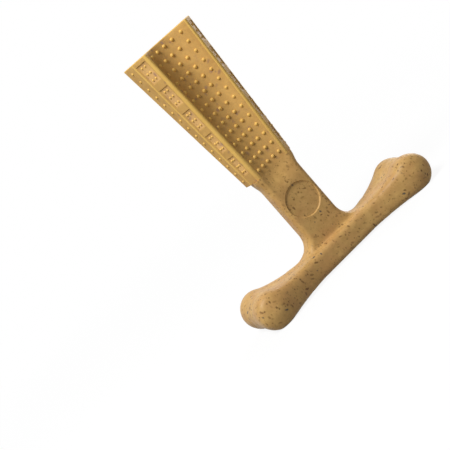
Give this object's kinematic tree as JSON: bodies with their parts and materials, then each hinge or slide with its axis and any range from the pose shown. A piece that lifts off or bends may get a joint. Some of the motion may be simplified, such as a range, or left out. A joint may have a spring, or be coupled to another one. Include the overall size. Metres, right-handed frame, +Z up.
{
  "type": "pet toothbrush",
  "caption": "Chew toothbrush for a dog: a bone-shaped base it stands on, a flat neck with a round recess, and a widening head with a nubbed dish between sloping rails.",
  "frame": {"origin": "middle of the bone, on the plane it stands on", "axes": "+Z up the handle to the head's free end, +X along the bone, -Y out of the dish"},
  "size_m": [0.0868, 0.0276, 0.102],
  "materials": {
    "fleck_nylon": "semi-gloss tan moulding with dark plant-fibre flecks",
    "head_compound": "satin golden tan, softer moulding with faint flecks"
  },
  "bodies": {
    "root": {"bone_handle": "fleck_nylon", "brush_head": "head_compound"}
  },
  "joints": []
}
